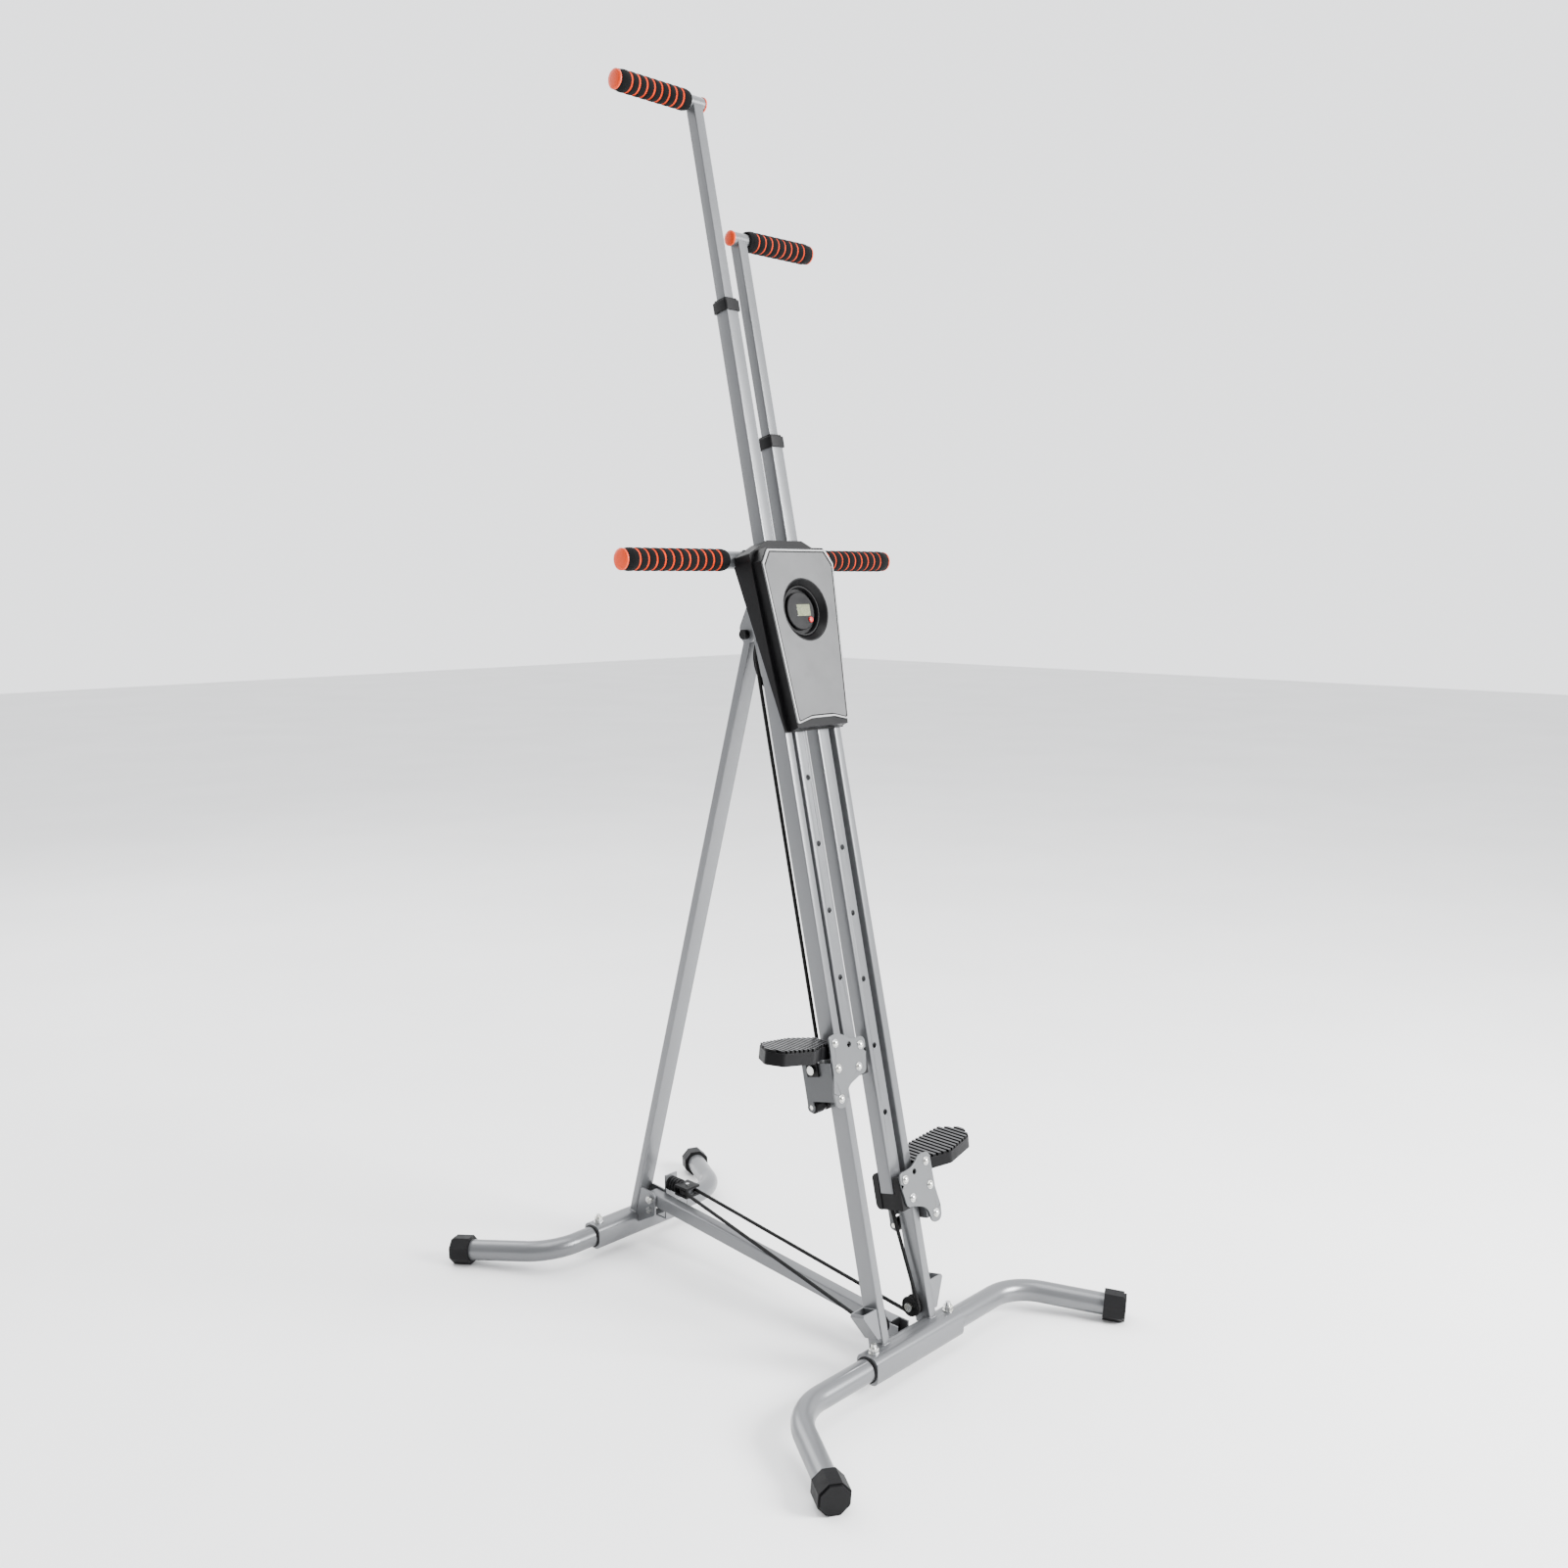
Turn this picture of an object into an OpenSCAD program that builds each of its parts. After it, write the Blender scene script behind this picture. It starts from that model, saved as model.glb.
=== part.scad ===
// Folding vertical climber: two poles with pedals and handles slide in opposite
// directions along a leaning mast, tied together by one rope loop.
// The base sits on z = 0, the centre of the base is the origin, the user faces +Y.

/* [Base] */
// Distance between the front and the rear base tube
base_len = 621; // [560:1:700]
// Height of the base tube axis at the sleeves
sleeve_z = 35; // [33:0.5:38]
// Half length of each sleeve
sleeve_half = 100; // [90:1:110]
// Outside width of the square sleeves
sleeve_w = 40; // [39:0.5:42]
// Outside diameter of the bent foot tubes
foot_d = 33.4; // [30:0.2:33.4]
// Where the front feet start to bend
front_bend_x = 200; // [180:1:220]
// Where the rear feet start to bend
rear_bend_x = 136; // [125:1:150]
// Centre line radius of the foot bends
foot_bend_r = 85; // [70:1:100]
// Straight length beyond the bend
foot_end = 126; // [110:1:140]
// Slope of the feet towards the floor
foot_slope = 5.4; // [5.2:0.1:6]

/* [Mast] */
// Lean of the mast away from the user
lean = 12.7; // [10:0.1:15]
// Centre of each fixed mast tube
mast_x = 54; // [52:0.5:58]
// Width of a mast tube
mast_w = 15; // [14:0.5:16]
// Depth of a mast tube
mast_d = 30; // [28:0.5:32]
// Upper end of the mast tubes, along the mast
mast_top = 1216; // [1200:1:1230]

/* [Poles] */
// Centre of each sliding pole
pole_x = 25; // [24:0.5:27]
// Outside width of the square poles
pole_w = 25; // [24:0.5:26]
// Height of a carriage at mid stroke, along the mast
mid_s = 381; // [375:1:390]
// How far the left carriage stands above mid stroke
phase = 106; // [0:1:120]
// Length of a pole above its carriage
pole_up = 1132; // [1100:1:1150]
// Spacing of the adjusting holes
hole_pitch = 100; // [90:1:105]
// Number of adjusting holes
hole_count = 6; // [4:1:7]
// Width of the inner telescopic tubes
inner_w = 19; // [18:0.5:20]
// Height of the handles above the carriage
handle_up = 1455; // [1400:1:1470]

/* [Fold] */
// Lean of the rear leg
leg_lean = 16; // [15:0.1:17]
// Height of the fold hinge
hinge_z = 1070; // [1050:1:1090]

/* [Hidden] */

left = -1;
right = 1;
front_y = -base_len / 2;
rear_y = base_len / 2;
mast_y0 = front_y - 7;
steel = "#a9adb1";
dark_steel = "#55585c";
black = "#1b1b1d";
orange = "#e8622c";
zinc = "#d5d8da";

// Mast frame: local z runs up the mast, local y points backward, y = 0 is the poles' front.
mast_front = -3;
mast_back = mast_front + mast_d;
pole_hole_d = 8.5;
first_hole = -5.5;
pole_down = 24.5;
pole_wall = 1.5;
plate_front = -18;
plate_t = 3;
plate_back = plate_front + plate_t;

// The fold hinge and the rear leg
hinge_y = rear_y - (hinge_z - sleeve_z) * tan(leg_lean);
leg_w = 30;
leg_d = 15;
leg_len = (hinge_z - sleeve_z) / cos(leg_lean);

// Handlebar fixed behind the mast
handlebar_s = 1224;
handlebar_r = 13.5;
handlebar_half = 283;
head_t = 4;
handlebar_y = mast_back + head_t + handlebar_r;

// Rope and pulleys
rope_d = 5;
foot_in_x = 40;
foot_wall = 2;
low_pulley = [38, 21.5, 76];
low_pulley_r = 13;
top_pulley = [0, 40, 1064];
top_pulley_r = 54;
rear_pulley_at = [26, rear_y - 100, 111];
rear_pulley_r = 11;

// ---------- shared shapes ----------

// Corner arc of a rounded outline: fillets the corner b between a and c with radius r
function unit(v) = v / norm(v);
function corner(a, b, c, r, n = 6) =
    let (u = unit(a - b), w = unit(c - b),
         half = acos(max(-1, min(1, u * w))) / 2,
         centre = b + unit(u + w) * r / sin(half),
         from = b + u * r / tan(half) - centre,
         turn = (180 - 2 * half) * (u[0] * w[1] - u[1] * w[0] > 0 ? -1 : 1))
    r == 0 ? [b] :
    [for (i = [0:n]) let (t = turn * i / n)
        centre + [from[0] * cos(t) - from[1] * sin(t), from[0] * sin(t) + from[1] * cos(t)]];

// Outline with a fillet at every point [x, y, radius]
function rounded(pts, n = 6) =
    let (m = len(pts))
    [for (i = [0:m - 1])
        let (a = pts[(i + m - 1) % m], b = pts[i], c = pts[(i + 1) % m])
        each corner([a[0], a[1]], [b[0], b[1]], [c[0], c[1]], b[2], n)];

function box_outline(w, d, r) =
    [[-w / 2, -d / 2, r], [w / 2, -d / 2, r], [w / 2, d / 2, r], [-w / 2, d / 2, r]];

module rod(w, d, r, h) linear_extrude(h) polygon(rounded(box_outline(w, d, r), 4));

module square_tube(w, d, r, wall, h) {
    difference() {
        rod(w, d, r, h);
        translate([0, 0, -1]) rod(w - 2 * wall, d - 2 * wall, max(r - wall, 0.3), h + 2);
    }
}

module on_mast() translate([0, mast_y0, 0]) rotate([-lean, 0, 0]) children();
module on_side(side) mirror([side < 0 ? 1 : 0, 0, 0]) children();
module on_carriage(side)
    on_mast() translate([0, 0, mid_s - side * phase]) on_side(side) children();
module on_leg() translate([0, hinge_y, hinge_z]) rotate([leg_lean, 0, 0]) children();

// Cylinder along X starting at x = 0
module pin_x(d, h) rotate([0, 90, 0]) cylinder(d = d, h = h, $fn = 48);
// Cylinder along the local backward direction, starting at y = 0
module pin_y(d, h) rotate([-90, 0, 0]) cylinder(d = d, h = h, $fn = 48);

// Domed bolt head on a washer, facing -Y, seated at y = 0
module bolt_head_y(d, h) {
    rotate([90, 0, 0]) rotate_extrude($fn = 40)
        polygon([[0, 0], [d / 2 + 1.2, 0], [d / 2 + 1.2, 0.8], [d / 2, 0.8],
            for (a = [0:15:90]) [d / 2 * cos(a), 0.8 + (h - 0.8) * sin(a)]]);
}

// Closed tube swept along a route: each ring's first axis is carried on from the ring before
function tangent(p, i) = unit(p[min(i + 1, len(p) - 1)] - p[max(i - 1, 0)]);
function square_to(v, t) = unit(v - t * (v * t));
module sweep_tube(p, d, sides = 8) {
    n = len(p);
    axes = [for (i = 0, u = square_to([1, 0, 0.01], tangent(p, 0)); i < n;
        i = i + 1, u = i < n ? square_to(u, tangent(p, i)) : u) u];
    pts = [for (i = [0:n - 1], k = [0:sides - 1])
        let (t = tangent(p, i), a = 360 * k / sides)
        p[i] + d / 2 * (axes[i] * cos(a) + cross(t, axes[i]) * sin(a))];
    faces = concat(
        [[for (k = [0:sides - 1]) k]],
        [for (i = [0:n - 2], k = [0:sides - 1])
            [i * sides + k, (i + 1) * sides + k,
                (i + 1) * sides + (k + 1) % sides, i * sides + (k + 1) % sides]],
        [[for (k = [sides - 1:-1:0]) (n - 1) * sides + k]]);
    polyhedron(pts, faces);
}

// ---------- base ----------

module sleeve(y) {
    difference() {
        translate([-sleeve_half, y, sleeve_z]) rotate([90, 0, 90])
            rod(sleeve_w, sleeve_w, 11, 2 * sleeve_half);
        translate([-sleeve_half - 1, y, sleeve_z]) pin_x(foot_d + 0.4, 2 * sleeve_half + 2);
        for (side = [left, right])
            translate([side * (sleeve_half - 14), y, sleeve_z]) cylinder(d = 8.4, h = 30, $fn = 32);
    }
}

// Bent foot tube: dir = -1 bends to the front, +1 bends to the rear
module foot_place(y, side, dir)
    translate([0, y, sleeve_z]) on_side(side) rotate([-dir * foot_slope, 0, 0])
        mirror([0, dir > 0 ? 1 : 0, 0]) children();

module foot_ring(d, wall) difference() {
    circle(d = d, $fn = 48);
    circle(d = d - 2 * wall, $fn = 48);
}

module foot(y, side, dir, bend_x) color(steel) foot_place(y, side, dir) {
    difference() {
        translate([foot_in_x, 0, 0]) rotate([0, 90, 0])
            linear_extrude(bend_x - foot_in_x) foot_ring(foot_d, foot_wall);
        translate([sleeve_half - 14, 0, 0]) rotate([-foot_slope, 0, 0]) cylinder(d = 8.4, h = 30, $fn = 32);
    }
    // the bend is drawn a little thinner than the straight stretches
    translate([bend_x, -foot_bend_r, 0]) rotate([0, 0, 30]) rotate_extrude(angle = 60, $fn = 96)
        translate([foot_bend_r, 0]) foot_ring(foot_d - 0.2, foot_wall - 0.2);
    translate([bend_x + foot_bend_r * cos(30), -foot_bend_r * sin(30), 0]) rotate([0, 90, -60])
        linear_extrude(foot_end) foot_ring(foot_d, foot_wall);
}

// Eight sided foot cap over the open end, cut flat where it stands on the floor
cap_af = 44;
cap_len = 34;
module foot_cap(y, side, dir, bend_x) {
    intersection() {
        foot_place(y, side, dir)
            translate([bend_x + foot_bend_r * cos(30), -foot_bend_r * sin(30), 0]) rotate([0, 90, -60])
                translate([0, 0, foot_end - cap_len + 4]) difference() {
                    union() {
                        rotate([0, 0, 22.5]) cylinder(d = cap_af / cos(22.5), h = cap_len - 4, $fn = 8);
                        translate([0, 0, cap_len - 4]) rotate([0, 0, 22.5])
                            cylinder(d = (cap_af - 5) / cos(22.5), h = 4, $fn = 8);
                    }
                    translate([0, 0, -1]) cylinder(d = foot_d, h = cap_len - 3, $fn = 48);
                }
        translate([-500, -700, 0]) cube([1000, 1400, 100]);
    }
}

module front_sleeve() color(steel) {
    sleeve(front_y);
    bar_seat();
}
module front_foot_left() foot(front_y, left, -1, front_bend_x);
module front_foot_right() foot(front_y, right, -1, front_bend_x);
module front_caps() color(black) for (side = [left, right]) foot_cap(front_y, side, -1, front_bend_x);

module rear_sleeve() color(steel) sleeve(rear_y);
module rear_foot_left() foot(rear_y, left, 1, rear_bend_x);
module rear_foot_right() foot(rear_y, right, 1, rear_bend_x);
module rear_caps() color(black) for (side = [left, right]) foot_cap(rear_y, side, 1, rear_bend_x);

// Open saddle behind the front sleeve that takes the front end of the bottom bar
bar_w = 20;
bar_h = 22;
bar_gap = 1;
seat_z = 38;
module bar_seat() {
    difference() {
        translate([-bar_w / 2 - bar_gap - 3, front_y + sleeve_w / 2 - 3, seat_z - 4])
            cube([bar_w + 2 * bar_gap + 6, 34, 26]);
        translate([-bar_w / 2 - bar_gap, front_y + sleeve_w / 2 - 4, seat_z])
            cube([bar_w + 2 * bar_gap, 60, 60]);
    }
}

// ---------- mast ----------

module mast_tube(side) color(steel) difference() {
    on_mast() on_side(side)
        translate([mast_x, mast_front + mast_d / 2, 30]) square_tube(mast_w, mast_d, 2, 1.5, mast_top - 30);
    translate([-sleeve_half, front_y, sleeve_z]) rotate([90, 0, 90])
        rod(sleeve_w, sleeve_w, 11, 2 * sleeve_half);
    translate([-150, front_y - 40, -1]) cube([300, 120, sleeve_z + 9]);
}
module mast_tube_left() mast_tube(left);
module mast_tube_right() mast_tube(right);

// Cross plate joining the two tubes behind, with the two lugs of the fold hinge
hinge_pin_d = 10;
lug_t = 3;
lug_x = leg_w / 2 + 0.6;
function mast_local(y, z) =
    [(y - mast_y0) * cos(lean) - z * sin(lean), (y - mast_y0) * sin(lean) + z * cos(lean)];
hinge_at = mast_local(hinge_y, hinge_z);
module mast_crosshead() color(steel) on_mast() {
    difference() {
        translate([0, mast_back, 1034]) rotate([90, 0, 180]) linear_extrude(head_t)
            polygon(rounded([[-58, 0, 14], [58, 0, 14], [61, 60, 4],
                [61, 202, 4], [-61, 202, 4], [-61, 60, 4]]));
        translate([top_pulley[0], mast_back - 1, top_pulley[2]]) pin_y(10, head_t + 2);
    }
    for (side = [left, right]) on_side(side) difference() {
        translate([lug_x, 0, 0]) rotate([90, 0, 90]) linear_extrude(lug_t)
            polygon(rounded([[mast_back + head_t, 1140, 0], [mast_back + 24, 1132, 20],
                [hinge_at[0] - 10, hinge_at[1] - 14, 10], [hinge_at[0] + 13, hinge_at[1] - 12, 12],
                [hinge_at[0] + 13, hinge_at[1] + 14, 12], [mast_back + 24, 1192, 30],
                [mast_back + head_t, 1206, 0]]));
        translate([0, hinge_at[0], hinge_at[1]]) pin_x(hinge_pin_d, 40);
    }
}

// Open sheet hooks on the outer sides of the mast tubes
module band_hooks() color(steel) on_mast() for (side = [left, right]) on_side(side)
    translate([mast_x + mast_w / 2, mast_front + 2, 66]) difference() {
        rotate([90, 0, 180]) mirror([1, 0, 0]) linear_extrude(26)
            polygon([[0, 0], [7, 0], [30, 38], [28, 42], [0, 42]]);
        translate([0, 2.5, 0]) rotate([90, 0, 180]) mirror([1, 0, 0]) linear_extrude(21)
            polygon([[2.5, 4], [6, 4], [27, 40], [27, 50], [2.5, 50]]);
    }

// ---------- console ----------

shell_front = -25;
shell_wall = 2.5;
shell_s0 = 951;
shell_s1 = 1228;
// The rear part of the shell is broader and taller than the front part
shell_step = -6;
shell_s2 = 1243;
panel_t = 3;
panel_front = shell_front - panel_t;
cup_s = 1132;
cup_r = 48.5;
// Slanted rear edge of the shell, from low and shallow to high and deep
shell_side = [[shell_front, shell_s0 + 4], [shell_step, shell_s0], [30, 1208],
    [30, shell_s2], [shell_front, shell_s2]];
shell_side_open = [[shell_front, shell_s0], [shell_step, shell_s0 - 30], [60, 1208],
    [60, shell_s2 + 9], [shell_front, shell_s2 + 9]];

// Tapered outline with cut upper corners and an arched lower end
module front_outline(h0, h1, s0, s1, arch) polygon(rounded([
    [-h0, s0, 3], [-h0 * 0.45, s0 + arch, 40], [h0 * 0.45, s0 + arch, 40], [h0, s0, 3],
    [h1, s1 - 21, 3], [h1 - 14, s1, 3], [-h1 + 14, s1, 3], [-h1, s1 - 21, 3]], 5));
module rear_outline(h0, h1, s0, s1) polygon(rounded([
    [-h0, s0, 3], [h0, s0, 3], [h1, s1 - 34, 3], [h1 - 1, s1 - 20, 3], [38, s1, 4],
    [-38, s1, 4], [-h1 + 1, s1 - 20, 3], [-h1, s1 - 34, 3]], 5));

module slab(y0, y1) translate([0, y1, 0]) rotate([90, 0, 0]) linear_extrude(y1 - y0) children();

module shell_outer(inset) intersection() {
    union() {
        slab(shell_step + inset, 40)
            rear_outline(65 - inset, 80 - inset, shell_s0 + inset, shell_s2 - inset);
        slab(shell_front + inset, shell_step + inset + 0.1)
            front_outline(55 - inset, 76 - inset, shell_s0 + inset, shell_s1 - inset, 3);
    }
    rotate([90, 0, 90]) translate([0, 0, -100]) linear_extrude(200)
        polygon(inset == 0 ? shell_side : shell_side_open);
}

module console_shell() color(black) on_mast() difference() {
    shell_outer(0);
    shell_outer(shell_wall);
    // openings for the two poles in the top wall
    for (side = [left, right]) translate([side * pole_x, pole_w / 2, shell_s2 - 30])
        rod(pole_w + 5, pole_w + 5, 3, 40);
    // the two poles and the mast enter through the open lower end
    translate([-62, -4.5, shell_s0 - 10]) cube([124, 60, 40]);
    translate([0, shell_front - 1, cup_s]) pin_y(2 * cup_r + 0.4, 10);
    translate([-85, mast_back, handlebar_s - handlebar_r - 1.5]) cube([170, 30, 60]);
}

// Panel with a raised rim and a groove inside it
module panel_outline(inset)
    front_outline(56 - inset, 77 - inset, shell_s0 + 9.5 + inset, shell_s1 - 3.5 - inset, 7);
module console_panel() color("#b6b9bb") on_mast() difference() {
    union() {
        slab(panel_front + 1.2, shell_front) panel_outline(0);
        difference() {
            slab(panel_front, panel_front + 1.3) panel_outline(0);
            slab(panel_front - 1, panel_front + 3) panel_outline(2.6);
        }
        slab(panel_front + 0.3, panel_front + 1.3) panel_outline(4.8);
    }
    translate([0, panel_front - 1, cup_s]) pin_y(2 * cup_r, 10);
}

// Deep round recess with a raised ring and the display head inside it
display_y = -17;
lcd_at = [6, cup_s + 1];
lcd_w = 28;
lcd_h = 18;
button_at = [18, cup_s - 14];
button_d = 9;
module display_cup() color(black) on_mast() translate([0, 0, cup_s]) difference() {
    rotate([90, 0, 0]) rotate_extrude($fn = 96)
        polygon([[0, 7], [cup_r - 4, 7], [cup_r - 4, 9], [cup_r - 0.3, 9], [cup_r - 0.3, 27.5],
            [cup_r - 1.9, 27.5], [39.5, 16], [38, 18.5], [36.2, 18.5], [35, 15.5], [34.5, 11],
            [29, 11], [29, 16], [28, 17], [0, 17]]);
    translate([lcd_at[0] - lcd_w / 2, display_y - 1, lcd_at[1] - cup_s - lcd_h / 2])
        cube([lcd_w, 3, lcd_h]);
    translate([button_at[0], display_y - 1, button_at[1] - cup_s]) pin_y(button_d + 0.6, 5);
}
module display_lens() color("#9aa37a") on_mast()
    translate([lcd_at[0] - lcd_w / 2 + 0.1, display_y - 0.4, lcd_at[1] - lcd_h / 2 + 0.1])
        cube([lcd_w - 0.2, 2.4, lcd_h - 0.2]);
module reset_button() color("#d63a3a") on_mast()
    translate([button_at[0], display_y + 2.5, button_at[1]]) rotate([90, 0, 0]) rotate_extrude($fn = 48)
        polygon([[0, 0], [button_d / 2, 0], [button_d / 2, 4], [button_d / 2 - 1, 5], [0, 5.3]]);

// ---------- fixed handlebar ----------

grip_d = 34;
grip_bore = 2 * handlebar_r;
module ring_grip(x0, x1, bore, d) translate([x0, 0, 0]) difference() {
    rotate([0, 90, 0]) rotate_extrude($fn = 48)
        polygon([[bore / 2, 0], [d / 2 - 2.5, 0], [d / 2, 3], [d / 2, x1 - x0 - 3],
            [d / 2 - 2.5, x1 - x0], [bore / 2, x1 - x0]]);
}
// Push-in end cap with a broad domed head, pointing to +X
module end_plug(d, bore) rotate([0, 90, 0]) rotate_extrude($fn = 48)
    polygon([[0, -12], [bore / 2 - 0.2, -12], [bore / 2 - 0.2, 0], [d / 2, 0], [d / 2, 2],
        [d / 2 - 2, 3.6], [d / 4, 4.4], [0, 4.6]]);

module at_handlebar() on_mast() translate([0, handlebar_y, handlebar_s]) children();
module handlebar() color(steel) at_handlebar() difference() {
    translate([-handlebar_half, 0, 0]) pin_x(2 * handlebar_r, 2 * handlebar_half);
    translate([-handlebar_half - 1, 0, 0]) pin_x(2 * handlebar_r - 4, 2 * handlebar_half + 2);
}
handlebar_grip_x = 84;
module handlebar_grip(side) color(black) at_handlebar() on_side(side)
    ring_grip(handlebar_grip_x, handlebar_half, grip_bore, grip_d);
module handlebar_grip_left() handlebar_grip(left);
module handlebar_grip_right() handlebar_grip(right);
module handlebar_plugs() color(orange) at_handlebar() for (side = [left, right])
    on_side(side) translate([handlebar_half, 0, 0]) end_plug(32, 2 * handlebar_r - 4);

// ---------- sliding poles ----------

module pole(side) color(steel) on_carriage(side) translate([pole_x, pole_w / 2, 0]) difference() {
    translate([0, 0, -pole_down]) square_tube(pole_w, pole_w, 2, pole_wall, pole_up + pole_down);
    for (i = [0:hole_count - 1])
        translate([0, -pole_w, first_hole + i * hole_pitch]) pin_y(pole_hole_d, 2 * pole_w);
}
module pole_left() pole(left);
module pole_right() pole(right);

module collar(side) color(black) on_carriage(side) translate([pole_x, pole_w / 2, pole_up]) difference() {
    union() {
        translate([0, 0, -14]) rod(pole_w + 6, pole_w + 6, 4, 17);
        translate([0, 0, 3]) rod(pole_w + 2, pole_w + 2, 4, 3);
    }
    translate([0, 0, -20]) rod(pole_w, pole_w, 2, 20);
    translate([0, 0, -20]) rod(inner_w + 0.8, inner_w + 0.8, 1.5, 40);
}
module collar_left() collar(left);
module collar_right() collar(right);

// ---------- carriages ----------

// Bolt places on the plate: x from the centre, height from the reference hole
plate_bolts = [[76.5, 8], [pole_x, first_hole], [78, -28], [35, -35], [81.5, -71]];
module plate_outline() polygon(rounded([
    [13, 6, 9], [42, 7, 26], [66, 21, 14], [88, 20, 9], [89, -34, 10], [95, -62, 12],
    [93, -84, 11], [70, -84, 11], [66, -58, 22], [36, -48, 10], [21, -46, 9], [15, -18, 12]]));
module carriage_plate(side) color("#9fa4a8") on_carriage(side) difference() {
    translate([0, plate_back, 0]) rotate([90, 0, 0]) linear_extrude(plate_t) plate_outline();
    for (b = plate_bolts) translate([b[0], plate_front - 1, b[1]]) pin_y(6.4, 10);
    translate([48, plate_front - 1, 0]) pin_y(pole_hole_d, 10);
}
module carriage_plate_left() carriage_plate(left);
module carriage_plate_right() carriage_plate(right);

// Folded steel channel beside the mast tube, behind the plate
body_x0 = mast_x + mast_w / 2 + 1.5;
body_x1 = 91;
body_back = 43;
body_top = -18;
body_low = -74;
body_wall = 2.5;
axle_eye_d = 14;
module axle_eye(x, high) translate([x, roller_y, roller_s]) {
    pin_x(axle_eye_d, 3);
    translate([0, -axle_eye_d / 2 + 1, 0]) cube([3, axle_eye_d - 2, high]);
}
module carriage_body(side) color(dark_steel) on_carriage(side) difference() {
    union() {
        translate([body_x0, plate_back, body_low])
            cube([body_x1 - body_x0, body_back - plate_back, body_top - body_low]);
        translate([roller_x0 - 3.2, mast_back + 1.5, -66])
            cube([body_x1 - roller_x0 + 3.2, body_back - mast_back - 1.5, 14]);
        axle_eye(roller_x0 - 3.2, 24);
        axle_eye(body_x1 - 3, 14);
    }
    translate([body_x0 + body_wall, plate_back + body_wall, -100])
        cube([body_x1 - body_x0 - 2 * body_wall, body_back - plate_back - 2 * body_wall, 97.5 + body_top]);
    translate([body_x0 - 5, roller_y, roller_s]) pin_x(2 * roller_r + 3, body_x1 - body_x0 + 2);
    translate([roller_x0 - 5, roller_y, roller_s]) pin_x(roller_pin_d, 80);
    translate([body_x0 - 1, lug_at[0], lug_at[1]]) pin_x(8.2, 60);
    for (b = [plate_bolts[0], plate_bolts[2], plate_bolts[4]])
        translate([b[0], plate_back - 1, b[1]]) pin_y(6.4, 6);
}
module carriage_body_left() carriage_body(left);
module carriage_body_right() carriage_body(right);
lug_at = [20, -27];

// Wheel that runs on the back of the mast tube
roller_r = 10;
roller_y = mast_back + roller_r + 0.1;
roller_s = -83;
roller_x0 = mast_x - mast_w / 2 - 1;
roller_x1 = body_x1 - 3.6;
roller_pin_d = 7;
module roller(side) color(black) on_carriage(side) translate([roller_x0, roller_y, roller_s])
    rotate([0, 90, 0]) rotate_extrude($fn = 56)
        polygon([[roller_pin_d / 2 + 0.05, 0], [roller_r - 1, 0], [roller_r, 1], [roller_r, 16],
            [roller_r - 2, 18], [roller_r - 2, 24], [roller_r, 26], [roller_r, roller_x1 - roller_x0 - 1],
            [roller_r - 1, roller_x1 - roller_x0], [roller_pin_d / 2 + 0.05, roller_x1 - roller_x0]]);
module roller_left() roller(left);
module roller_right() roller(right);

// Moulded block under and behind the end of the pole
guide_low = -49;
rope_low_x = 38;
rope_low_y = 32;
module guide_block(side) color(black) on_carriage(side) difference() {
    union() {
        translate([12, 0, 0]) rotate([90, 0, 90]) linear_extrude(29.5)
            polygon(rounded([[pole_w, guide_low, 0], [36.5, guide_low, 8], [36.5, 5, 9], [pole_w, 5, 0]]));
        translate([13.5, plate_back, guide_low]) cube([28, pole_w - plate_back + 2, -24.8 - guide_low]);
        translate([13.5, plate_back, guide_low]) cube([48, mast_front - 0.3 - plate_back, -guide_low]);
    }
    for (b = [plate_bolts[1], plate_bolts[3]]) translate([b[0], plate_back - 1, b[1]]) pin_y(6.4, 80);
    translate([48, plate_back - 1, 0]) pin_y(pole_hole_d, 30);
    translate([rope_low_x, rope_low_y, guide_low - 1]) cylinder(d = rope_d + 1, h = 13, $fn = 24);
}
module guide_block_left() guide_block(left);
module guide_block_right() guide_block(right);

module carriage_bolts(side) color(zinc) on_carriage(side) {
    for (b = plate_bolts) translate([b[0], plate_front, b[1]]) bolt_head_y(10, 4.2);
    for (b = plate_bolts) translate([b[0], plate_front, b[1]]) pin_y(6, b[0] < 40 ? 58 : 8);
    translate([roller_x0 - 3.2, roller_y, roller_s]) pin_x(roller_pin_d - 0.1, roller_x1 - roller_x0 + 6.2);
    translate([body_x1 - 5, lug_at[0], lug_at[1]]) pin_x(8, 9);
    translate([body_x1 + 3.8, lug_at[0], lug_at[1]]) pin_x(13, 3.5);
}
module carriage_bolts_left() carriage_bolts(left);
module carriage_bolts_right() carriage_bolts(right);

// Pedal: tread with cross ribs and an outline of six sides, its outer end a little higher
pedal_t = 22;
pedal_rise = 4.2;
pedal_roll = 8;
pedal_mid = 120;
rib_h = 4;
module pedal_outline(inset) polygon(rounded([
    [64 + inset, 6.6 + inset, 2], [97 + inset / 2, 6.6 + inset, 6], [128, -8 + inset, 12],
    [184 - inset, -1 + inset, 8], [198 - inset, 22, 8], [177 - inset, 56 - inset, 9],
    [112, 62 - inset, 26], [64 + inset, 46 - inset, 8]]));
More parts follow.
